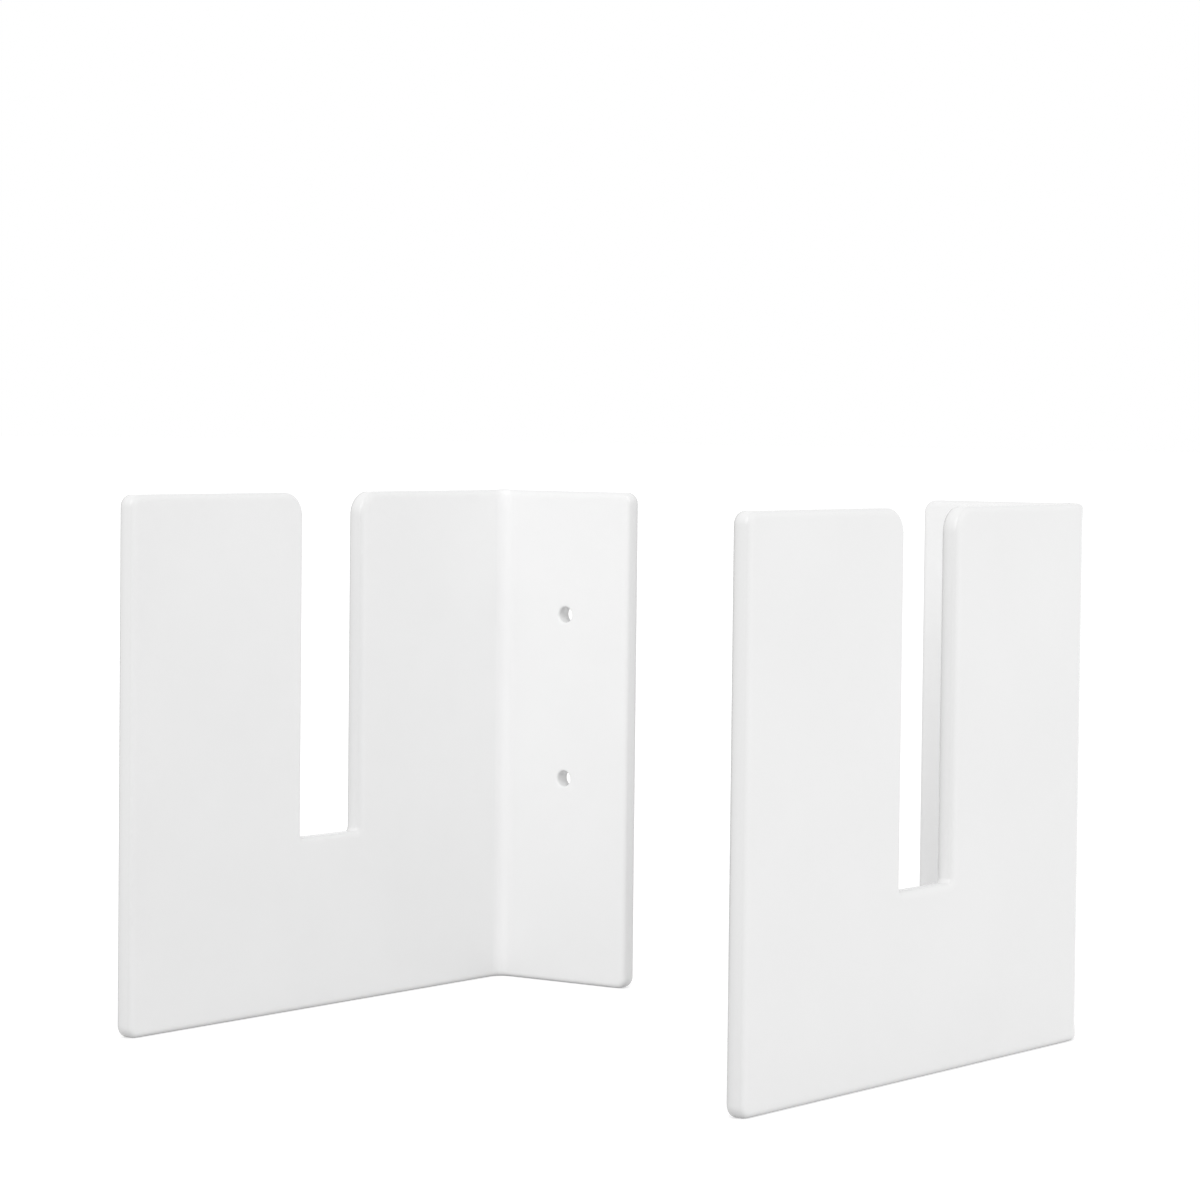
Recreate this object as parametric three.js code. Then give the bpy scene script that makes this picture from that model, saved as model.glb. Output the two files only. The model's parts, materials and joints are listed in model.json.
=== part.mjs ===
// A handed pair of wall brackets that hold a snowboard on its long edge.
// Each bracket is one sheet of gloss white acrylic. It is cut flat, with a tall slot open at the
// top and two screw holes, rounded along every edge, and then heat-bent once into an L: a wide
// plate that stands out from the wall, and a narrow flange that is screwed flat on it.
// The right bracket is the mirror image of the left one, and their flanges point at each other.
// Units are millimetres. +Z is up, the wall is on the +Y side, and the plates reach out along -Y.
// The origin is under the middle of the pair, at the height of its lower edges.

import * as THREE from "three";
import { mergeVertices } from "three/addons/utils/BufferGeometryUtils.js";

// The pair
const pairWidth = 150; // from the outer face of one plate to the outer face of the other

// Sheet and bend
const sheetThickness = 4;
const insideBendRadius = 3;
const edgeRound = 1.2; // polished round along the edges of both faces
const cornerRadius = 2.5; // the four outer corners of the blank

// Plate and flange
const bracketHeight = 108;
const plateReach = 125; // from the wall to the free end of the plate
const flangeWidth = 38; // from the outer face of the plate to the free end of the flange

// Slot that the board's edge stands in
const slotWidth = 19;
const slotDepth = 72;
const slotFromWall = 53.5; // from the wall to the nearer wall of the slot
const slotMouthRadius = 5; // the two corners at the top of the slot
const slotFootRadius = 1; // the two hollow corners at its foot

// Screw holes in the flange
const holeRadius = 1.75;
const holeRimRound = 0.4;
const holeFromPlateFace = 21; // from the outer face of the plate to the line of holes
const lowerHoleHeight = 45;
const holeSpacing = 36;

// Swelling of the hot sheet at both ends of the bend
const bendFlare = 0.3; // how far the corner is pushed outwards
const bendSwell = 0.3; // how far the inside of the corner rises above the top edge
const swellReach = 5; // how far from the ends the flare is felt
const swellRowShares = [0, 0.12, 0.3, 0.6, 1]; // rows of points within that reach

// Fineness of the round stretches
const cornerSegments = 6;
const mouthSegments = 8;
const footSegments = 6; // even, so that one point lies at the middle of the corner
const bendSegments = 12;
const holeSegments = 24;
const roundSegments = 4;

// The edge round can't outgrow the sheet or the outline's corners.
const roundInSheetShare = 0.45;
const roundInCornerShare = 0.9;

// Sizes that follow from the ones above
const quarterTurn = Math.PI / 2;
const halfTurn = Math.PI;
const fullTurn = 2 * Math.PI;
const edgeRadius = Math.min(
  edgeRound,
  sheetThickness * roundInSheetShare,
  cornerRadius * roundInCornerShare,
);
const outsideBendRadius = insideBendRadius + sheetThickness;
const bendLength = (insideBendRadius + sheetThickness / 2) * quarterTurn;
const bendStart = plateReach - outsideBendRadius;
const bendEnd = bendStart + bendLength;
const blankLength = bendEnd + flangeWidth - outsideBendRadius;
const slotFloor = bracketHeight - slotDepth;
const slotBackWall = plateReach - slotFromWall;
const slotFrontWall = slotBackWall - slotWidth;
const holeLine = bendEnd + holeFromPlateFace - outsideBendRadius;
const holeHeights = [lowerHoleHeight, lowerHoleHeight + holeSpacing];

// The blank is drawn flat: along runs from the free end of the plate to the free end of the
// flange, height runs up, and depth runs through the sheet from its outer face to its inner one.

// A point of an edge of the blank, with the direction there that points out of the sheet.
function edgePoint(along, height, outAlong, outHeight) {
  return { along, height, outAlong, outHeight };
}

// Points of an arc of an edge. side is 1 where the sheet is inside the arc, and -1 outside it.
function arcPoints(centre, radius, startAngle, endAngle, segments, side) {
  const points = [];
  for (let step = 0; step <= segments; step += 1) {
    const angle = startAngle + ((endAngle - startAngle) * step) / segments;
    const cosine = Math.cos(angle);
    const sine = Math.sin(angle);
    const along = centre.along + radius * cosine;
    const height = centre.height + radius * sine;
    points.push(edgePoint(along, height, side * cosine, side * sine));
  }
  return points;
}

// One of the four outer corners, given where its round begins round the circle.
function outerCorner(centreAlong, centreHeight, startAngle) {
  const centre = { along: centreAlong, height: centreHeight };
  return arcPoints(centre, cornerRadius, startAngle, startAngle + quarterTurn, cornerSegments, 1);
}

// A corner at the mouth of the slot.
function mouthCorner(centreAlong, startAngle) {
  const centre = { along: centreAlong, height: bracketHeight - slotMouthRadius };
  return arcPoints(centre, slotMouthRadius, startAngle, startAngle + quarterTurn, mouthSegments, 1);
}

// A hollow corner at the foot of the slot, where the outline turns the other way.
function footCorner(centreAlong, startAngle) {
  const centre = { along: centreAlong, height: slotFloor + slotFootRadius };
  return arcPoints(centre, slotFootRadius, startAngle, startAngle - quarterTurn, footSegments, -1);
}

// Points along the upper or lower edge at each station of the bend, in the order of along.
function bendStations(height, outHeight) {
  const points = [];
  for (let step = 0; step <= bendSegments; step += 1) {
    points.push(edgePoint(bendStart + (bendLength * step) / bendSegments, height, 0, outHeight));
  }
  return points;
}

// Heights between neighbouring holes, where the face of the flange is divided.
function heightsBetweenHoles() {
  return holeHeights.slice(1).map((height, index) => (height + holeHeights[index]) / 2);
}

// The outline of the blank as named stretches, in the order in which they go round it.
function outlineStretches() {
  const farCorner = bracketHeight - cornerRadius;
  const footHollow = slotFootRadius + edgeRadius;
  const footMiddle = footHollow * Math.SQRT1_2;
  const underFrontFoot = slotFrontWall + slotFootRadius - footMiddle;
  const underBackFoot = slotBackWall - slotFootRadius + footMiddle;
  return {
    freeEndFoot: outerCorner(cornerRadius, cornerRadius, halfTurn),
    underFrontFoot: [edgePoint(underFrontFoot, 0, 0, -1)],
    underBackFoot: [edgePoint(underBackFoot, 0, 0, -1)],
    bendFoot: bendStations(0, -1),
    flangeFoot: outerCorner(blankLength - cornerRadius, cornerRadius, halfTurn + quarterTurn),
    flangeEnd: heightsBetweenHoles().map((height) => edgePoint(blankLength, height, 1, 0)),
    flangeHead: outerCorner(blankLength - cornerRadius, farCorner, 0),
    bendHead: bendStations(bracketHeight, 1).reverse(),
    backMouth: mouthCorner(slotBackWall + slotMouthRadius, quarterTurn),
    backFoot: footCorner(slotBackWall - slotFootRadius, 0),
    frontFoot: footCorner(slotFrontWall + slotFootRadius, -quarterTurn),
    frontMouth: mouthCorner(slotFrontWall - slotMouthRadius, 0),
    freeEndHead: outerCorner(cornerRadius, farCorner, quarterTurn),
  };
}

// A screw hole goes round the other way, so that the sheet is again on the left.
function holeLoop(height) {
  const centre = { along: holeLine, height };
  return arcPoints(centre, holeRadius, fullTurn, 0, holeSegments, -1).slice(0, -1);
}

// The place of an edge point once it is moved into the sheet by inset.
function movedIn(point, inset) {
  return {
    along: point.along - inset * point.outAlong,
    height: point.height - inset * point.outHeight,
  };
}

// How far in and how deep each line of a rounded edge lies, from the outer face to the inner one.
function edgeLevels(radius) {
  const levels = [];
  for (let step = 0; step <= roundSegments; step += 1) {
    const angle = (quarterTurn * step) / roundSegments;
    levels.push({ inset: radius * (1 - Math.sin(angle)), depth: radius * (1 - Math.cos(angle)) });
  }
  const otherFace = levels.map(({ inset, depth }) => ({ inset, depth: sheetThickness - depth }));
  return [...levels, ...otherFace.reverse()];
}

// Triangles of the rounded edge that follows a closed loop, lofted from level to level.
function roundedEdge(loop, radius) {
  const rings = edgeLevels(radius).map(({ inset, depth }) =>
    loop.map((point) => ({ ...movedIn(point, inset), depth })),
  );
  const triangles = [];
  for (let level = 1; level < rings.length; level += 1) {
    const lower = rings[level - 1];
    const upper = rings[level];
    for (let index = 0; index < loop.length; index += 1) {
      const next = (index + 1) % loop.length;
      triangles.push([lower[index], lower[next], upper[next]]);
      triangles.push([lower[index], upper[next], upper[index]]);
    }
  }
  return triangles;
}

// Triangles from a centre to every stretch of the closed border that it sees.
function fan(border, centre) {
  return border.map((point, index) => [centre, point, border[(index + 1) % border.length]]);
}

// The points of a loop in the order in which they lie round a centre, with their angles.
function sortedRound(points, centre) {
  const angled = points.map((point) => ({
    point,
    angle: Math.atan2(point.height - centre.height, point.along - centre.along),
  }));
  return angled.sort((first, second) => first.angle - second.angle);
}

// The point at a step round such a loop, with an angle that keeps growing.
function roundAt(sorted, step) {
  const { point, angle } = sorted[step % sorted.length];
  return { point, angle: angle + fullTurn * Math.floor(step / sorted.length) };
}

// Triangles between a border and the hole inside it. The side with the nearer edge steps on first.
function borderToHole(border, hole, centre) {
  const outer = sortedRound(border, centre);
  const inner = sortedRound(hole, centre);
  const triangles = [];
  let outerStep = 0;
  let innerStep = 0;
  while (outerStep < outer.length || innerStep < inner.length) {
    const outerNow = roundAt(outer, outerStep);
    const outerNext = roundAt(outer, outerStep + 1);
    const innerNow = roundAt(inner, innerStep);
    const innerNext = roundAt(inner, innerStep + 1);
    const outerIsNearer = outerNow.angle + outerNext.angle < innerNow.angle + innerNext.angle;
    if (innerStep === inner.length || (outerStep < outer.length && outerIsNearer)) {
      triangles.push([innerNow.point, outerNow.point, outerNext.point]);
      outerStep += 1;
    } else {
      triangles.push([innerNow.point, outerNow.point, innerNext.point]);
      innerStep += 1;
    }
  }
  return triangles;
}

// Heights of the rows of points across the bend: close together at its ends, where it swells.
function bendRows() {
  const fromFoot = swellRowShares.map((share) => edgeRadius + share * swellReach);
  const fromHead = fromFoot.map((height) => bracketHeight - height).reverse();
  return [...fromFoot, ...heightsBetweenHoles(), ...fromHead];
}

// Points up the line where the bend meets a flat part of the sheet.
function bendLine(along) {
  return bendRows().map((height) => ({ along, height }));
}

// Triangles of the bend's own stretch of the face, as a grid of stations and rows.
function bendFace() {
  const triangles = [];
  for (let step = 0; step < bendSegments; step += 1) {
    const near = bendLine(bendStart + (bendLength * step) / bendSegments);
    const far = bendLine(bendStart + (bendLength * (step + 1)) / bendSegments);
    for (let row = 1; row < near.length; row += 1) {
      triangles.push([near[row - 1], far[row - 1], far[row]]);
      triangles.push([near[row - 1], far[row], near[row]]);
    }
  }
  return triangles;
}

// Triangles of the flange's face, divided between the holes, so that each part has one of them.
function flangeFace(stretches) {
  const rows = bendLine(bendEnd);
  const footHeight = rows[0].height;
  const headHeight = rows[rows.length - 1].height;
  const divisions = [footHeight, ...heightsBetweenHoles(), headHeight];
  const lowerSides = [stretches.flangeFoot, ...stretches.flangeEnd.map((point) => [point])];
  const upperSides = [...stretches.flangeEnd.map((point) => [point]), stretches.flangeHead];
  return holeHeights.flatMap((holeHeight, index) => {
    const low = divisions[index];
    const high = divisions[index + 1];
    const bendSide = rows.filter(({ height }) => height >= low && height <= high);
    const border = [...lowerSides[index], ...upperSides[index], ...bendSide.reverse()];
    const hole = holeLoop(holeHeight).map((point) => movedIn(point, holeRimRound));
    return borderToHole(border, hole, { along: holeLine, height: holeHeight });
  });
}

// Triangles of one face of the blank inside its rounded edges, seen from the inner side.
function faceTriangles(outline) {
  const stretches = {};
  for (const [name, points] of Object.entries(outline)) {
    stretches[name] = points.map((point) => movedIn(point, edgeRadius));
  }
  const footMiddle = footSegments / 2;
  const frontLeg = [
    ...stretches.freeEndFoot,
    ...stretches.underFrontFoot,
    ...stretches.frontFoot.slice(footMiddle),
    ...stretches.frontMouth,
    ...stretches.freeEndHead,
  ];
  const underSlot = [
    ...stretches.underFrontFoot,
    ...stretches.underBackFoot,
    ...stretches.backFoot.slice(footMiddle),
    ...stretches.frontFoot.slice(0, footMiddle + 1),
  ];
  const backLeg = [
    ...stretches.underBackFoot,
    ...bendLine(bendStart),
    ...stretches.backMouth,
    ...stretches.backFoot.slice(0, footMiddle + 1),
  ];
  const middleHeight = bracketHeight / 2;
  return [
    ...fan(frontLeg, { along: slotFrontWall / 2, height: middleHeight }),
    ...fan(underSlot, { along: slotFrontWall + slotWidth / 2, height: slotFloor / 2 }),
    ...fan(backLeg, { along: (slotBackWall + bendStart) / 2, height: middleHeight }),
    ...bendFace(),
    ...flangeFace(stretches),
  ];
}

// The closed skin of the flat blank: its edges, its holes and its two faces.
function blankTriangles() {
  const outline = outlineStretches();
  const triangles = roundedEdge(Object.values(outline).flat(), edgeRadius);
  for (const height of holeHeights) {
    triangles.push(...roundedEdge(holeLoop(height), holeRimRound));
  }
  for (const [first, second, third] of faceTriangles(outline)) {
    const outerFace = [first, third, second].map((point) => ({ ...point, depth: 0 }));
    const innerFace = [first, second, third].map((point) => ({ ...point, depth: sheetThickness }));
    triangles.push(outerFace, innerFace);
  }
  return triangles;
}

// How strongly the sheet swells at a point: most at the middle of the bend, at its two ends.
function swelling(turn, distanceFromEnd) {
  const endShare = Math.max(0, 1 - distanceFromEnd / swellReach);
  return endShare ** 2 * Math.sin(2 * turn) ** 2;
}

// Where a point of the blank lies once the sheet is bent, from the wall corner of the left bracket.
function bentPoint({ along, height, depth }) {
  const turn = quarterTurn * THREE.MathUtils.clamp((along - bendStart) / bendLength, 0, 1);
  const footSwelling = swelling(turn, height);
  const headSwelling = swelling(turn, bracketHeight - height);
  const radius = outsideBendRadius - depth + bendFlare * (footSwelling + headSwelling);
  const plateRun = Math.min(along - bendStart, 0);
  const flangeRun = Math.max(along - bendEnd, 0);
  return new THREE.Vector3(
    outsideBendRadius - radius * Math.cos(turn) + flangeRun,
    radius * Math.sin(turn) - outsideBendRadius + plateRun,
    height + (bendSwell * headSwelling * depth) / sheetThickness,
  );
}

// The bent bracket. hand is 1 for the left bracket and -1 for its mirror image.
function bracketGeometry(hand) {
  const places = [];
  for (const triangle of blankTriangles()) {
    const corners = triangle.map(bentPoint);
    if (hand < 0) {
      corners.reverse();
    }
    for (const corner of corners) {
      places.push(hand * corner.x, corner.y, corner.z);
    }
  }
  const loose = new THREE.BufferGeometry();
  loose.setAttribute("position", new THREE.Float32BufferAttribute(places, 3));
  const geometry = mergeVertices(loose);
  geometry.computeVertexNormals();
  return geometry;
}

function glossWhiteAcrylic() {
  return new THREE.MeshStandardMaterial({ color: 0xf3f3f1, roughness: 0.2, metalness: 0 });
}

// A bracket set with its wall face on the wall and the outer face of its plate at one side.
function bracket(name, hand) {
  const mesh = new THREE.Mesh(bracketGeometry(hand), glossWhiteAcrylic());
  mesh.name = name;
  mesh.position.set((-hand * pairWidth) / 2, plateReach / 2, 0);
  return mesh;
}

const pair = new THREE.Group();
pair.add(bracket("left_bracket", 1));
pair.add(bracket("right_bracket", -1));

export default pair;
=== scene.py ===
"""The looks of a mirror-image pair of slotted wall brackets, heat-bent from gloss white acrylic.

The file is laid out as a Blender add-on and is run as a script. Sizes are in metres, in the
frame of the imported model: +Z is up, the wall is on the +Y side, and the plates reach out to -Y.
"""
import json
import math

import bmesh
import bpy
from bpy.props import FloatProperty, FloatVectorProperty, PointerProperty
from mathutils import Matrix, Vector


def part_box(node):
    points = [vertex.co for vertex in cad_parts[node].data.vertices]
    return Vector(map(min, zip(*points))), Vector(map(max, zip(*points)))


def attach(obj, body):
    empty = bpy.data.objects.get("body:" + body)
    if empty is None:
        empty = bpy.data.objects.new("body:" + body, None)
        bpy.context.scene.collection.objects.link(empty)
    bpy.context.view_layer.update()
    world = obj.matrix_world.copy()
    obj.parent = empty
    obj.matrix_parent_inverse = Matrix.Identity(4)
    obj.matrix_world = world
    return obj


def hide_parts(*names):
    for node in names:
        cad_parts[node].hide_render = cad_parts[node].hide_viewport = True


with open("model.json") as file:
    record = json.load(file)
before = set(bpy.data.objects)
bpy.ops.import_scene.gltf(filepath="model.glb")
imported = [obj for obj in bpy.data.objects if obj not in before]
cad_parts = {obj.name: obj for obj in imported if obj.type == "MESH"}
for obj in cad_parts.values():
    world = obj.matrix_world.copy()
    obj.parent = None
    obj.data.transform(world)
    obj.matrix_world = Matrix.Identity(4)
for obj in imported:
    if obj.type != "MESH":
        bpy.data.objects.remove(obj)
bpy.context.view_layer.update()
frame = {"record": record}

bl_info = {
    "name": "Slotted Acrylic Wall Brackets",
    "version": (1, 0, 0),
    "blender": (4, 5, 0),
    "location": "3D View > Sidebar > Brackets",
    "description": "Models a mirror-image pair of heat-bent acrylic wall brackets and their studio",
    "category": "Add Mesh",
}

LEFT_LOW, LEFT_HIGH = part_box("left_bracket")
_, RIGHT_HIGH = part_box("right_bracket")
MOUNT_PLACES = {mount["name"]: mount["pos_m"] for mount in frame["record"]["mounts"]}

QUARTER_TURN = math.pi / 2

# Two places nearer than this, in metres, are one, and two faces within this angle lie in one plane
TOUCH = 1e-6
FLAT_ANGLE = math.radians(1.0)

# Fineness of the round stretches
CORNER_SEGMENTS = 8
MOUTH_SEGMENTS = 14
FOOT_SEGMENTS = 6
ROUND_SEGMENTS = 8
RIM_SEGMENTS = 4
HOLE_SIDE_SEGMENTS = 10
BEND_STATIONS = 20

# Rows of points near both ends of the bend, as shares of the reach of the swelling
SWELL_ROW_SHARES = (0.08, 0.2, 0.36, 0.56, 0.8, 1.0)

# The bevel profile that makes a true circle
CIRCLE_PROFILE_SHARE = 0.5

# The acrylic: its patterns' scales are in cells per metre, its reliefs in metres, its turn in radians
ACRYLIC_IOR = 1.49
HAZE_SCALE = 28.0
HAZE_DETAIL = 3.0
HAZE_FINE_SHARE = 0.55
HAZE_RAMP_SHARES = (0.35, 0.65)
WIPE_TURN = (0.2, 0.3, 0.0)
WIPE_SCALE = (260.0, 260.0, 22.0)
WIPE_RAMP_SHARES = (0.12, 0.4)
WAVE_SCALE = 40.0
WAVE_DETAIL = 1.0
WAVE_RELIEF = 0.0002
WAVE_STRENGTH_SHARE = 0.15

# The cut edges: the cutting lines' scale is in cells per sheet thickness, the reliefs in metres
MIDDLE_DEPTH_SHARE = 0.5
# How far the cut edges' greyer tone fades onto the rounds, partly as painted shade that dims their
# highlight
EDGE_FADE_SHARE = 0.55
CUT_LINE_SCALE = (9.0, 0.35, 1.0)
CUT_LINE_RELIEF = 0.00004
CUT_LINE_STRENGTH_SHARE = 0.25
DOME_RELIEF = 0.0019

# The floor: how much light bounces off it at two distances from the middle, less near the middle as
# painted shade round the pair's foot, and how it is seen
FLOOR_BOUNCE_DISTANCES = (0.12, 0.3)
FLOOR_BOUNCE_SHARES = (0.58, 0.7)
FLOOR_SHADE_COLOR = (0.6, 0.6, 0.6, 1.0)
FLOOR_GLOW = 0.5

# The camera's sensor in millimetres, and its nearest and farthest sight in metres
SENSOR_WIDTH = 36.0
NEAREST_SIGHT = 0.01
FARTHEST_SIGHT = 20.0

# The world's light, which is white, and its strength where it is seen directly
WHITE_COLOR = (1.0, 1.0, 1.0, 1.0)
WHITE_STRENGTH = 1.0


class BracketSizes(bpy.types.PropertyGroup):
    """Sizes of one bracket and of the pair."""

    pair_width: FloatProperty(
        name="Pair width",
        description="From the outer face of one plate to the outer face of the other",
        default=RIGHT_HIGH.x - LEFT_LOW.x,
        unit="LENGTH",
    )
    plate_reach: FloatProperty(
        name="Plate reach",
        description="From the wall to the free end of the plate",
        default=LEFT_HIGH.y - LEFT_LOW.y,
        unit="LENGTH",
    )
    flange_width: FloatProperty(
        name="Flange width",
        description="From the outer face of the plate to the free end of the flange",
        default=LEFT_HIGH.x - LEFT_LOW.x,
        unit="LENGTH",
    )
    height: FloatProperty(
        name="Height",
        description="From the lower edge to the upper one, away from the bend",
        default=0.108,
        unit="LENGTH",
    )
    sheet: FloatProperty(
        name="Sheet thickness",
        description="Thickness of the acrylic sheet",
        default=0.004,
        unit="LENGTH",
    )
    bend_radius: FloatProperty(
        name="Inside bend radius",
        description="Radius on the inner face of the bend",
        default=0.003,
        unit="LENGTH",
    )
    edge_round: FloatProperty(
        name="Edge round",
        description="Radius of the polished round along both faces' edges",
        default=0.0012,
        unit="LENGTH",
    )
    corner_radius: FloatProperty(
        name="Corner radius",
        description="Radius of the four outer corners of the blank",
        default=0.0025,
        unit="LENGTH",
    )
    slot_width: FloatProperty(
        name="Slot width",
        description="Gap between the two walls of the slot",
        default=0.019,
        unit="LENGTH",
    )
    slot_floor: FloatProperty(
        name="Slot floor height",
        description="Height of the foot of the slot above the lower edge",
        default=MOUNT_PLACES["left_slot_floor"][2],
        unit="LENGTH",
    )
    slot_from_wall: FloatProperty(
        name="Slot from wall",
        description="From the wall to the nearer wall of the slot",
        default=0.0535,
        unit="LENGTH",
    )
    mouth_radius: FloatProperty(
        name="Slot mouth radius",
        description="Radius of the two corners at the top of the slot",
        default=0.005,
        unit="LENGTH",
    )
    foot_radius: FloatProperty(
        name="Slot foot radius",
        description="Radius of the two hollow corners at the foot of the slot",
        default=0.001,
        unit="LENGTH",
    )
    hole_radius: FloatProperty(
        name="Hole radius",
        description="Radius of the screw holes",
        default=0.00175,
        unit="LENGTH",
    )
    rim_round: FloatProperty(
        name="Hole rim round",
        description="Radius of the softened rim of the screw holes",
        default=0.0004,
        unit="LENGTH",
    )
    hole_from_plate: FloatProperty(
        name="Holes from plate",
        description="From the outer face of the plate to the line of holes",
        default=0.021,
        unit="LENGTH",
    )
    lower_hole: FloatProperty(
        name="Lower hole height",
        description="Height of the lower screw hole",
        default=0.045,
        unit="LENGTH",
    )
    hole_spacing: FloatProperty(
        name="Hole spacing",
        description="Distance between the two screw holes",
        default=0.036,
        unit="LENGTH",
    )
    bend_flare: FloatProperty(
        name="Bend flare",
        description="How far the corner is pushed outwards at both ends of the bend",
        default=0.0003,
        unit="LENGTH",
    )
    bend_swell: FloatProperty(
        name="Bend swell",
        description="How far the inside of the corner rises above the top edge",
        default=0.0003,
        unit="LENGTH",
    )
    swell_reach: FloatProperty(
        name="Swell reach",
        description="How far from the ends of the bend the flare and the swelling are felt",
        default=0.005,
        unit="LENGTH",
    )


class AcrylicFinish(bpy.types.PropertyGroup):
    """Colours and gloss of the acrylic."""

    face_color: FloatVectorProperty(
        name="Face colour",
        description="Colour of a clean stretch of the sheet's faces",
        default=(0.925, 0.925, 0.925),
        subtype="COLOR",
    )
    haze_color: FloatVectorProperty(
        name="Haze colour",
        description="Colour where the sheet has a faint haze",
        default=(0.91, 0.91, 0.91),
        subtype="COLOR",
    )
    # Partly the cut edges' own greyer tone, partly painted shade that darkens the outlines and the
    # rounds next to them
    edge_tone_and_shade_color: FloatVectorProperty(
        name="Cut edge colour",
        description="Colour of the polished cut edges, which look a little greyer than the faces",
        default=(0.795, 0.795, 0.795),
        subtype="COLOR",
    )
    roughness: FloatProperty(
        name="Roughness",
        description="Roughness of a clean stretch of the sheet",
        default=0.2,
        min=0.0,
        max=1.0,
        subtype="FACTOR",
    )
    haze_roughness: FloatProperty(
        name="Haze roughness",
        description="How much rougher the sheet is where it has a faint haze or wipe marks",
        default=0.03,
        min=0.0,
        max=1.0,
        subtype="FACTOR",
    )


class StudioSettings(bpy.types.PropertyGroup):
    """Camera, floor and lights."""

    azimuth: FloatProperty(
        name="Azimuth",
        description="Direction of the camera round the pair, from straight in front of the wall",
        default=math.radians(35.78),
        subtype="ANGLE",
    )
    elevation: FloatProperty(
        name="Elevation",
        description="Angle by which the camera looks down",
        default=math.radians(2.57),
        subtype="ANGLE",
    )
    roll: FloatProperty(
        name="Roll",
        description="Turn of the camera about its line of sight",
        default=math.radians(-0.625),
        subtype="ANGLE",
    )
    distance: FloatProperty(
        name="Distance",
        description="From the camera to the point that it aims at",
        default=0.81,
        unit="LENGTH",
    )
    aim: FloatVectorProperty(
        name="Aim",
        description="Point that the camera aims at",
        default=(-0.0024, 0.0, 0.0878),
        subtype="TRANSLATION",
    )
    lens: FloatProperty(
        name="Lens",
        description="Focal length in millimetres on a sensor 36 mm wide",
        default=121.6,
    )
    floor_width: FloatProperty(
        name="Floor width",
        description="Width and depth of the floor",
        default=30.0,
        unit="LENGTH",
    )
    ambient_strength: FloatProperty(
        name="Ambient light strength",
        description="Strength of the plain light from all round",
        default=0.855,
    )
    key_strength: FloatProperty(
        name="Key light strength",
        description="Strength of the soft light from above, in front and to the right",
        default=1.06,
    )
    key_direction: FloatVectorProperty(
        name="Key light direction",
        description="Direction from the pair towards the key light",
        default=(0.42, -0.64, 0.63),
        subtype="DIRECTION",
    )
    key_spread: FloatProperty(
        name="Key light spread",
        description="Angle that the key light covers as seen from the pair, for soft shadows",
        default=math.radians(50.0),
        subtype="ANGLE",
    )


class WallBracketSettings(bpy.types.PropertyGroup):
    """All settings of the pair and its studio."""

    sizes: PointerProperty(type=BracketSizes)
    finish: PointerProperty(type=AcrylicFinish)
    studio: PointerProperty(type=StudioSettings)


def settings():
    """The scene's own settings for the brackets."""
    return bpy.context.scene.wall_brackets


class BlankPlan:
    """Where the features of the flat blank lie, worked out from the bracket's sizes.

    The blank lies flat in the plane of the left plate, and runs on past the wall by the length
    of the bend and the flange, until it is bent.
    """

    def __init__(self, sizes):
        outside_radius = sizes.bend_radius + sizes.sheet
        self.outer_face = -sizes.pair_width / 2
        self.inner_face = self.outer_face + sizes.sheet
        self.free_end = -sizes.plate_reach / 2
        self.wall = sizes.plate_reach / 2
        self.bend_length = (sizes.bend_radius + sizes.sheet / 2) * QUARTER_TURN
        self.bend_start = self.wall - outside_radius
        self.bend_end = self.bend_start + self.bend_length
        self.flange_end = self.bend_end + sizes.flange_width - outside_radius
        self.hole_line = self.bend_end + sizes.hole_from_plate - outside_radius
        self.hole_heights = (sizes.lower_hole, sizes.lower_hole + sizes.hole_spacing)
        self.slot_back = self.wall - sizes.slot_from_wall
        self.slot_front = self.slot_back - sizes.slot_width


# Small helpers for working in edit mode, where an operator acts on what is selected


def deselect_objects():
    """Leaves edit mode and deselects every object."""
    if bpy.context.object and bpy.context.object.mode != "OBJECT":
        bpy.ops.object.mode_set(mode="OBJECT")
    bpy.ops.object.select_all(action="DESELECT")


def near(value, target):
    """Whether two places are the same, but for rounding."""
    return abs(value - target) < TOUCH


def edit_mesh():
    """The mesh of the piece that is being edited."""
    return bmesh.from_edit_mesh(bpy.context.object.data)


def select_faces(wanted):
    """Selects the faces that pass a test, and nothing else."""
    bpy.ops.mesh.select_mode(type="FACE")
    bpy.ops.mesh.select_all(action="DESELECT")
    mesh = edit_mesh()
    for face in mesh.faces:
        face.select_set(wanted(face))
    bmesh.update_edit_mesh(bpy.context.object.data)


def select_edges(wanted):
    """Selects the edges that pass a test, and nothing else."""
    bpy.ops.mesh.select_mode(type="EDGE")
    bpy.ops.mesh.select_all(action="DESELECT")
    mesh = edit_mesh()
    for edge in mesh.edges:
        edge.select_set(wanted(edge))
    bmesh.update_edit_mesh(bpy.context.object.data)


def bisect_selected(axis, place):
    """Cuts the selected faces along a plane square to an axis."""
    point = Vector((0.0, 0.0, 0.0))
    normal = Vector((0.0, 0.0, 0.0))
    point["xyz".index(axis)] = place
    normal["xyz".index(axis)] = 1.0
    bpy.ops.mesh.bisect(plane_co=point, plane_no=normal)


def bevel_edges(wanted, radius, segments):
    """Rounds the edges that pass a test."""
    select_edges(wanted)
    bpy.ops.mesh.bevel(
        offset_type="OFFSET",
        offset=radius,
        segments=segments,
        profile=CIRCLE_PROFILE_SHARE,
        affect="EDGES",
        clamp_overlap=False,
    )


# The bracket, in the order in which it would be made from sheet


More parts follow.
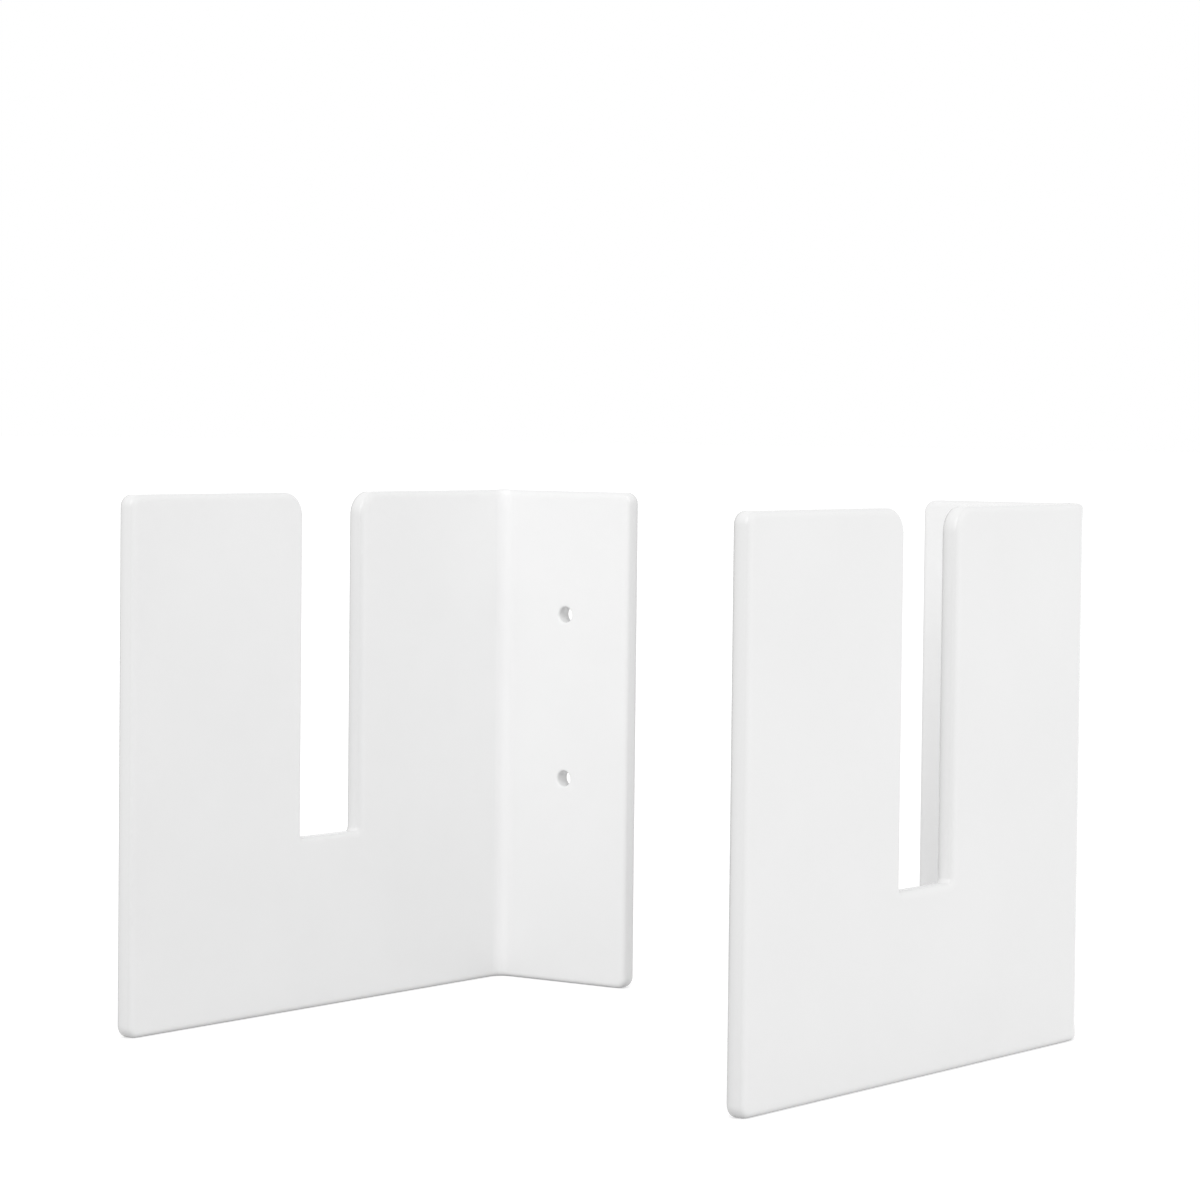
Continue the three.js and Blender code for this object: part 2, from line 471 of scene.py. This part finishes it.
def lay_out_blank(plan, sizes):
    """Adds the rectangular blank as a flat face in the plane of the plate's outer face."""
    deselect_objects()
    bpy.ops.mesh.primitive_plane_add(size=1.0, rotation=(0.0, QUARTER_TURN, 0.0))
    blank = bpy.context.object
    bpy.ops.object.transform_apply(location=False, rotation=True, scale=False)
    blank.scale = (1.0, plan.flange_end - plan.free_end, sizes.height)
    middle = (plan.flange_end + plan.free_end) / 2
    blank.location = (plan.outer_face, middle, sizes.height / 2)
    bpy.ops.object.transform_apply(location=True, rotation=True, scale=True)
    bpy.ops.object.mode_set(mode="EDIT")
    return blank


def cut_slot(plan, sizes):
    """Cuts the tall slot that is open at the top edge."""
    for axis, place in (("y", plan.slot_front), ("y", plan.slot_back), ("z", sizes.slot_floor)):
        bpy.ops.mesh.select_all(action="SELECT")
        bisect_selected(axis, place)

    def in_slot(face):
        centre = face.calc_center_median()
        return plan.slot_front < centre.y < plan.slot_back and centre.z > sizes.slot_floor

    select_faces(in_slot)
    bpy.ops.mesh.delete(type="FACE")
    bpy.ops.mesh.select_all(action="SELECT")
    bpy.ops.mesh.dissolve_limited(angle_limit=FLAT_ANGLE)


def mark_bend(plan):
    """Divides the sheet along the two lines between which it will be heated."""
    for place in (plan.bend_start, plan.bend_end):
        bpy.ops.mesh.select_all(action="SELECT")
        bisect_selected("y", place)


def drill_holes(plan, sizes):
    """Opens the round screw holes, each inside a square patch of the flange."""
    half_patch = 2 * sizes.hole_radius + sizes.rim_round

    def on_flange(face):
        return face.calc_center_median().y > plan.bend_end

    heights = [h + side * half_patch for h in plan.hole_heights for side in (-1, 1)]
    cuts = [("z", height) for height in heights]
    cuts += [("y", plan.hole_line + side * half_patch) for side in (-1, 1)]
    for axis, place in cuts:
        select_faces(on_flange)
        bisect_selected(axis, place)
    for height in plan.hole_heights:
        open_hole(plan, sizes, height, half_patch)


def open_hole(plan, sizes, height, half_patch):
    """Swaps one square patch for a ring of faces round the hole."""
    centre = Vector((plan.outer_face, plan.hole_line, height))

    def is_patch(face):
        return (face.calc_center_median() - centre).length < half_patch / 2

    def on_patch_border(edge):
        reach = max(max(abs(v.co.y - centre.y), abs(v.co.z - centre.z)) for v in edge.verts)
        middle = (edge.verts[0].co + edge.verts[1].co) / 2 - centre
        return near(reach, half_patch) and near(max(abs(middle.y), abs(middle.z)), half_patch)

    select_faces(is_patch)
    bpy.ops.mesh.delete(type="ONLY_FACE")
    select_edges(on_patch_border)
    bpy.ops.mesh.subdivide(number_cuts=HOLE_SIDE_SEGMENTS - 1)
    bpy.ops.mesh.select_all(action="DESELECT")
    bpy.ops.mesh.primitive_circle_add(
        vertices=4 * HOLE_SIDE_SEGMENTS,
        radius=sizes.hole_radius,
        fill_type="NOTHING",
        location=centre,
        rotation=(0.0, QUARTER_TURN, 0.0),
    )
    circle = {v.index for v in edit_mesh().verts if v.select}

    def on_border_or_circle(edge):
        return on_patch_border(edge) or all(v.index in circle for v in edge.verts)

    select_edges(on_border_or_circle)
    bpy.ops.mesh.bridge_edge_loops()


def thicken(sizes):
    """Gives the sheet its thickness, from the outer face towards the other bracket."""
    bpy.ops.mesh.select_mode(type="FACE")
    bpy.ops.mesh.select_all(action="SELECT")
    bpy.ops.mesh.extrude_region_move(TRANSFORM_OT_translate={"value": (sizes.sheet, 0.0, 0.0)})
    bpy.ops.mesh.select_all(action="SELECT")
    bpy.ops.mesh.normals_make_consistent(inside=False)


def round_corners(plan, sizes):
    """Rounds the outline's corners, as seen from the side of the plate."""

    def stands_at(edge, places):
        first, second = (v.co for v in edge.verts)
        through = near(first.y, second.y) and near(first.z, second.z)
        return through and any(near(first.y, y) and near(first.z, z) for y, z in places)

    outer = [(y, z) for y in (plan.free_end, plan.flange_end) for z in (0.0, sizes.height)]
    mouth = [(y, sizes.height) for y in (plan.slot_front, plan.slot_back)]
    foot = [(y, sizes.slot_floor) for y in (plan.slot_front, plan.slot_back)]
    groups = (
        (outer, sizes.corner_radius, CORNER_SEGMENTS),
        (mouth, sizes.mouth_radius, MOUTH_SEGMENTS),
        (foot, sizes.foot_radius, FOOT_SEGMENTS),
    )
    for places, radius, segments in groups:
        bevel_edges(lambda edge, at=places: stands_at(edge, at), radius, segments)


def polish_edges(plan, sizes):
    """Rounds every edge of both faces, with a smaller round at the rims of the holes."""
    hole_reach = sizes.hole_radius + sizes.rim_round / 2

    def is_edge_of_face(edge):
        if len(edge.link_faces) != 2:
            return False
        flat = [near(abs(face.normal.x), 1.0) for face in edge.link_faces]
        return flat[0] != flat[1]

    def is_rim(edge):
        middle = (edge.verts[0].co + edge.verts[1].co) / 2
        across = middle.y - plan.hole_line
        return any(math.hypot(across, middle.z - height) < hole_reach for height in plan.hole_heights)

    bevel_edges(
        lambda edge: is_edge_of_face(edge) and not is_rim(edge),
        sizes.edge_round,
        ROUND_SEGMENTS,
    )
    bevel_edges(
        lambda edge: is_edge_of_face(edge) and is_rim(edge),
        sizes.rim_round,
        RIM_SEGMENTS,
    )


def keep_faces_flat(plan, sizes):
    """Adds a narrow border inside both faces, which keeps their shading flat up to the rounds."""
    for place in (plan.outer_face, plan.inner_face):
        select_faces(lambda face, at=place: all(near(v.co.x, at) for v in face.verts))
        bpy.ops.mesh.inset(thickness=sizes.rim_round, use_boundary=True)


def divide_bend(plan, sizes):
    """Cuts the heated stretch into stations along it, and into rows near its two ends."""

    def in_bend(face):
        return plan.bend_start < face.calc_center_median().y < plan.bend_end

    for step in range(1, BEND_STATIONS):
        select_faces(in_bend)
        bisect_selected("y", plan.bend_start + plan.bend_length * step / BEND_STATIONS)
    for share in SWELL_ROW_SHARES:
        drop = sizes.edge_round + share * sizes.swell_reach
        for height in (drop, sizes.height - drop):
            select_faces(in_bend)
            bisect_selected("z", height)


def map_blank(plan, sizes):
    """Writes the flat blank's UV map, in sheet thicknesses: U runs along an edge, V is the depth."""
    mesh = edit_mesh()
    layer = mesh.loops.layers.uv.new("blank")
    for face in mesh.faces:
        for loop in face.loops:
            place = loop.vert.co
            depth = place.x - plan.outer_face
            loop[layer].uv = ((place.y + place.z) / sizes.sheet, depth / sizes.sheet)
    bmesh.update_edit_mesh(bpy.context.object.data)


def heat_bend(plan, sizes):
    """Turns the flange through a right angle, flares both ends of the bend and lifts the upper one."""
    outside_radius = sizes.bend_radius + sizes.sheet
    for vertex in edit_mesh().verts:
        along = vertex.co.y - plan.bend_start
        if along <= 0:
            continue
        turn = QUARTER_TURN * min(along / plan.bend_length, 1.0)
        depth = vertex.co.x - plan.outer_face
        foot_share = max(0.0, 1.0 - vertex.co.z / sizes.swell_reach)
        head_share = max(0.0, 1.0 - (sizes.height - vertex.co.z) / sizes.swell_reach)
        strongest_mid_bend = math.sin(2 * turn) ** 2
        flare = sizes.bend_flare * (foot_share**2 + head_share**2) * strongest_mid_bend
        swell = sizes.bend_swell * head_share**2 * strongest_mid_bend
        radius = outside_radius - depth + flare
        flange_run = max(along - plan.bend_length, 0.0)
        vertex.co.x = plan.outer_face + outside_radius - radius * math.cos(turn) + flange_run
        vertex.co.y = plan.bend_start + radius * math.sin(turn)
        vertex.co.z += swell * depth / sizes.sheet
    bmesh.update_edit_mesh(bpy.context.object.data)


def finish_piece(piece, name, node):
    """Names the piece, gives it its material, sets it under the root body and hides the imported part
    that it stands for.
    """
    piece.name = name
    piece.data.name = name
    piece.data.materials.clear()
    piece.data.materials.append(polished_acrylic())
    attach(piece, "root")
    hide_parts(node)


# Material


def add_node(tree, kind, inputs=None, **attributes):
    """Adds a node, sets its attributes, and sets or links the inputs given by name or number."""
    node = tree.nodes.new(kind)
    for name, value in attributes.items():
        setattr(node, name, value)
    for name, value in (inputs or {}).items():
        if isinstance(value, bpy.types.NodeSocket):
            tree.links.new(value, node.inputs[name])
        else:
            node.inputs[name].default_value = value
    return node


def new_tree(owner):
    """Gives a material or world an empty node tree."""
    owner.use_nodes = True
    owner.node_tree.nodes.clear()
    return owner.node_tree


def edge_masks(tree, sizes):
    """Masks the cut edges with 1, fading to 0 at each face, and gives their doming and UV map; the mask
    lays the edges' greyer tone over them, partly as painted shade.
    """
    blank = tree.nodes.new("ShaderNodeUVMap")
    blank.uv_map = "blank"
    parts = add_node(tree, "ShaderNodeSeparateXYZ", {"Vector": blank.outputs["UV"]})
    depth = parts.outputs["Y"]
    shifted = add_node(tree, "ShaderNodeMath", {0: depth, 1: MIDDLE_DEPTH_SHARE}, operation="SUBTRACT")
    from_middle = shifted.outputs["Value"]
    distance = add_node(tree, "ShaderNodeMath", {0: from_middle}, operation="ABSOLUTE")
    mask = add_node(tree, "ShaderNodeMapRange", {
        "Value": distance.outputs["Value"],
        "From Min": MIDDLE_DEPTH_SHARE - EDGE_FADE_SHARE * sizes.edge_round / sizes.sheet,
        "From Max": MIDDLE_DEPTH_SHARE,
        "To Min": 1.0,
        "To Max": 0.0,
    })
    dome = add_node(tree, "ShaderNodeMath", {0: from_middle, 1: from_middle}, operation="MULTIPLY")
    return mask.outputs["Result"], dome.outputs["Value"], blank.outputs["UV"]


def acrylic_colour(tree, finish, haze, mask):
    """The sheet's white, a little duller in the haze, and greyer on the cut edges and their rounds,
    partly as painted shade.
    """
    colours = tree.nodes.new("ShaderNodeValToRGB")
    tree.links.new(haze, colours.inputs["Fac"])
    low, high = colours.color_ramp.elements
    low.position, high.position = HAZE_RAMP_SHARES
    low.color = (*finish.haze_color, 1.0)
    high.color = (*finish.face_color, 1.0)
    # The cut edges' greyer tone, partly painted shade, laid over the white by the edge mask
    edged = add_node(tree, "ShaderNodeMixRGB", {
        "Fac": mask,
        "Color1": colours.outputs["Color"],
        "Color2": (*finish.edge_tone_and_shade_color, 1.0),
    })
    return edged.outputs["Color"]


def acrylic_roughness(tree, finish, place, haze):
    """Gloss that varies with the haze and with faint, nearly upright wipe marks."""
    turned = add_node(tree, "ShaderNodeMapping", {
        "Vector": place,
        "Rotation": WIPE_TURN,
        "Scale": WIPE_SCALE,
    })
    marks = add_node(tree, "ShaderNodeTexNoise", {"Vector": turned.outputs["Vector"], "Scale": 1.0})
    both = add_node(tree, "ShaderNodeMath", {0: haze, 1: marks.outputs["Fac"]}, operation="MULTIPLY")
    low_share, high_share = WIPE_RAMP_SHARES
    dulled = add_node(tree, "ShaderNodeMapRange", {
        "Value": both.outputs["Value"],
        "From Min": low_share,
        "From Max": high_share,
        "To Min": finish.roughness,
        "To Max": finish.roughness + finish.haze_roughness,
    })
    return dulled.outputs["Result"]


def acrylic_relief(tree, place, blank, mask, dome):
    """The slight waviness of the faces, and fine cutting lines across the domed, polished edges."""
    waves = add_node(tree, "ShaderNodeTexNoise", {
        "Vector": place,
        "Scale": WAVE_SCALE,
        "Detail": WAVE_DETAIL,
    })
    wavy = add_node(tree, "ShaderNodeBump", {
        "Height": waves.outputs["Fac"],
        "Strength": WAVE_STRENGTH_SHARE,
        "Distance": WAVE_RELIEF,
    })
    narrowed = add_node(tree, "ShaderNodeMapping", {"Vector": blank, "Scale": CUT_LINE_SCALE})
    lines = add_node(tree, "ShaderNodeTexNoise", {"Vector": narrowed.outputs["Vector"], "Scale": 1.0})
    cut = add_node(tree, "ShaderNodeMath", {0: lines.outputs["Fac"], 1: mask}, operation="MULTIPLY")
    lined = add_node(tree, "ShaderNodeBump", {
        "Height": cut.outputs["Value"],
        "Strength": CUT_LINE_STRENGTH_SHARE,
        "Distance": CUT_LINE_RELIEF,
        "Normal": wavy.outputs["Normal"],
    })
    domed = add_node(
        tree,
        "ShaderNodeBump",
        {"Height": dome, "Strength": 1.0, "Distance": DOME_RELIEF, "Normal": lined.outputs["Normal"]},
        invert=True,
    )
    return domed.outputs["Normal"]


def polished_acrylic():
    """Gloss white acrylic with a faint haze, wipe marks, a slight waviness and greyer cut edges, whose
    grey is partly painted shade.
    """
    known = bpy.data.materials.get("polished_acrylic")
    if known:
        return known
    finish = settings().finish
    material = bpy.data.materials.new("polished_acrylic")
    tree = new_tree(material)
    place = tree.nodes.new("ShaderNodeTexCoord").outputs["Object"]
    mask, dome, blank = edge_masks(tree, settings().sizes)
    haze = add_node(tree, "ShaderNodeTexNoise", {
        "Vector": place,
        "Scale": HAZE_SCALE,
        "Detail": HAZE_DETAIL,
        "Roughness": HAZE_FINE_SHARE,
    }).outputs["Fac"]
    shader = add_node(tree, "ShaderNodeBsdfPrincipled", {
        "Base Color": acrylic_colour(tree, finish, haze, mask),
        "Roughness": acrylic_roughness(tree, finish, place, haze),
        "Normal": acrylic_relief(tree, place, blank, mask, dome),
        "IOR": ACRYLIC_IOR,
        "Metallic": 0.0,
    })
    add_node(tree, "ShaderNodeOutputMaterial", {"Surface": shader.outputs["BSDF"]})
    return material


# Operators


class WALLBRACKETS_OT_left_bracket(bpy.types.Operator):
    """Model the left bracket from a flat blank: slot, holes, edges and bend"""

    bl_idname = "wallbrackets.left_bracket"
    bl_label = "Left Bracket"
    bl_options = {"REGISTER", "UNDO"}

    def execute(self, context):
        sizes = settings().sizes
        plan = BlankPlan(sizes)
        piece = lay_out_blank(plan, sizes)
        cut_slot(plan, sizes)
        mark_bend(plan)
        drill_holes(plan, sizes)
        thicken(sizes)
        round_corners(plan, sizes)
        polish_edges(plan, sizes)
        keep_faces_flat(plan, sizes)
        divide_bend(plan, sizes)
        map_blank(plan, sizes)
        heat_bend(plan, sizes)
        bpy.ops.object.mode_set(mode="OBJECT")
        bpy.ops.object.shade_smooth()
        finish_piece(piece, "bent_sheet_left", "left_bracket")
        return {"FINISHED"}


class WALLBRACKETS_OT_right_bracket(bpy.types.Operator):
    """Copy the left bracket as its mirror image"""

    bl_idname = "wallbrackets.right_bracket"
    bl_label = "Right Bracket"
    bl_options = {"REGISTER", "UNDO"}

    def execute(self, context):
        left = bpy.data.objects["bent_sheet_left"]
        deselect_objects()
        piece = bpy.data.objects.new("bent_sheet_right", left.data.copy())
        context.scene.collection.objects.link(piece)
        piece.data.transform(Matrix.Scale(-1.0, 4, Vector((1.0, 0.0, 0.0))))
        piece.select_set(True)
        context.view_layer.objects.active = piece
        bpy.ops.object.mode_set(mode="EDIT")
        bpy.ops.mesh.select_all(action="SELECT")
        bpy.ops.mesh.normals_make_consistent(inside=False)
        bpy.ops.object.mode_set(mode="OBJECT")
        finish_piece(piece, "bent_sheet_right", "right_bracket")
        return {"FINISHED"}


def add_camera(studio):
    """Adds the camera at the photograph's viewing angle."""
    camera = bpy.data.objects.new("camera", bpy.data.cameras.new("camera"))
    bpy.context.scene.collection.objects.link(camera)
    camera.data.sensor_width = SENSOR_WIDTH
    camera.data.lens = studio.lens
    camera.data.clip_start = NEAREST_SIGHT
    camera.data.clip_end = FARTHEST_SIGHT
    back = Vector((
        math.sin(studio.azimuth) * math.cos(studio.elevation),
        -math.cos(studio.azimuth) * math.cos(studio.elevation),
        math.sin(studio.elevation),
    ))
    level = Matrix.Rotation(-studio.roll, 4, "Z")
    turned = back.to_track_quat("Z", "Y").to_matrix().to_4x4()
    place = Matrix.Translation(Vector(studio.aim) + back * studio.distance)
    camera.matrix_world = place @ turned @ level
    bpy.context.scene.camera = camera


def seen_directly(tree):
    """A factor of 1 for what the camera sees, also in gloss or through glass, and else of 0."""
    path = tree.nodes.new("ShaderNodeLightPath")
    seen = path.outputs["Is Camera Ray"]
    for kind in ("Is Glossy Ray", "Is Transmission Ray"):
        either = add_node(tree, "ShaderNodeMath", {0: seen, 1: path.outputs[kind]}, operation="MAXIMUM")
        seen = either.outputs["Value"]
    return seen


def pale_floor():
    """A matt floor that is lifted to white where it is seen directly, and keeps some shade.

    The light that bounces off it meets a plain matt grey, which is a little darker near the pair:
    painted shade round its foot.
    """
    material = bpy.data.materials.new("pale_floor")
    tree = new_tree(material)
    place = tree.nodes.new("ShaderNodeTexCoord").outputs["Object"]
    distance = add_node(tree, "ShaderNodeVectorMath", {0: place}, operation="LENGTH")
    near_distance, far_distance = FLOOR_BOUNCE_DISTANCES
    near_share, far_share = FLOOR_BOUNCE_SHARES
    # The darker grey near the pair is painted shade that dims the bounce onto the brackets' lower parts
    grey = add_node(tree, "ShaderNodeMapRange", {
        "Value": distance.outputs["Value"],
        "From Min": near_distance,
        "From Max": far_distance,
        "To Min": near_share,
        "To Max": far_share,
    })
    plain = add_node(tree, "ShaderNodeBsdfDiffuse", {"Color": grey.outputs["Result"]})
    shaded = add_node(tree, "ShaderNodeBsdfDiffuse", {"Color": FLOOR_SHADE_COLOR})
    lift = add_node(tree, "ShaderNodeEmission", {"Strength": FLOOR_GLOW})
    lifted = add_node(tree, "ShaderNodeAddShader", {
        0: shaded.outputs["BSDF"],
        1: lift.outputs["Emission"],
    })
    choice = add_node(tree, "ShaderNodeMixShader", {
        "Fac": seen_directly(tree),
        1: plain.outputs["BSDF"],
        2: lifted.outputs["Shader"],
    })
    add_node(tree, "ShaderNodeOutputMaterial", {"Surface": choice.outputs["Shader"]})
    return material


def add_floor(studio):
    """Adds the floor that the pair stands on."""
    deselect_objects()
    bpy.ops.mesh.primitive_plane_add(size=studio.floor_width)
    floor = bpy.context.object
    floor.name = "floor"
    floor.data.materials.append(pale_floor())


def add_world(studio):
    """Adds the plain light from all round, which is white where it is seen directly."""
    world = bpy.data.worlds.new("studio")
    tree = new_tree(world)
    level = add_node(tree, "ShaderNodeMapRange", {
        "Value": seen_directly(tree),
        "To Min": studio.ambient_strength,
        "To Max": WHITE_STRENGTH,
    })
    light = add_node(tree, "ShaderNodeBackground", {
        "Color": WHITE_COLOR,
        "Strength": level.outputs["Result"],
    })
    add_node(tree, "ShaderNodeOutputWorld", {"Surface": light.outputs["Background"]})
    bpy.context.scene.world = world


def add_key_light(studio):
    """Adds the soft key light, which falls evenly and from a wide angle."""
    lamp = bpy.data.objects.new("key_light", bpy.data.lights.new("key_light", "SUN"))
    bpy.context.scene.collection.objects.link(lamp)
    lamp.data.energy = studio.key_strength
    lamp.data.angle = studio.key_spread
    towards = Vector(studio.key_direction)
    lamp.location = towards
    lamp.rotation_euler = towards.to_track_quat("Z", "Y").to_euler()


class WALLBRACKETS_OT_studio(bpy.types.Operator):
    """Set up the camera, the pale floor and the soft light"""

    bl_idname = "wallbrackets.studio"
    bl_label = "Studio"
    bl_options = {"REGISTER", "UNDO"}

    def execute(self, context):
        studio = settings().studio
        add_camera(studio)
        add_floor(studio)
        add_world(studio)
        add_key_light(studio)
        context.scene.view_settings.view_transform = "Standard"
        return {"FINISHED"}


class WALLBRACKETS_PT_panel(bpy.types.Panel):
    """Sidebar panel that lists the pieces and the studio"""

    bl_idname = "WALLBRACKETS_PT_panel"
    bl_label = "Wall Brackets"
    bl_space_type = "VIEW_3D"
    bl_region_type = "UI"
    bl_category = "Brackets"

    def draw(self, context):
        layout = self.layout
        groups = settings()
        for group in (groups.sizes, groups.finish, groups.studio):
            box = layout.box()
            for name in group.__annotations__:
                box.prop(group, name)
        for operator in OPERATORS:
            layout.operator(operator.bl_idname)


OPERATORS = (
    WALLBRACKETS_OT_studio,
    WALLBRACKETS_OT_left_bracket,
    WALLBRACKETS_OT_right_bracket,
)
CLASSES = (
    BracketSizes,
    AcrylicFinish,
    StudioSettings,
    WallBracketSettings,
    *OPERATORS,
    WALLBRACKETS_PT_panel,
)


def register():
    """Makes the settings, operators and panel known to Blender."""
    for cls in CLASSES:
        bpy.utils.register_class(cls)
    bpy.types.Scene.wall_brackets = PointerProperty(type=WallBracketSettings)


def unregister():
    """Takes them away again."""
    del bpy.types.Scene.wall_brackets
    for cls in reversed(CLASSES):
        bpy.utils.unregister_class(cls)


def main():
    """Makes the studio and the pieces."""
    register()
    bpy.ops.wallbrackets.studio()
    bpy.ops.wallbrackets.left_bracket()
    bpy.ops.wallbrackets.right_bracket()


if __name__ == "__main__":
    main()
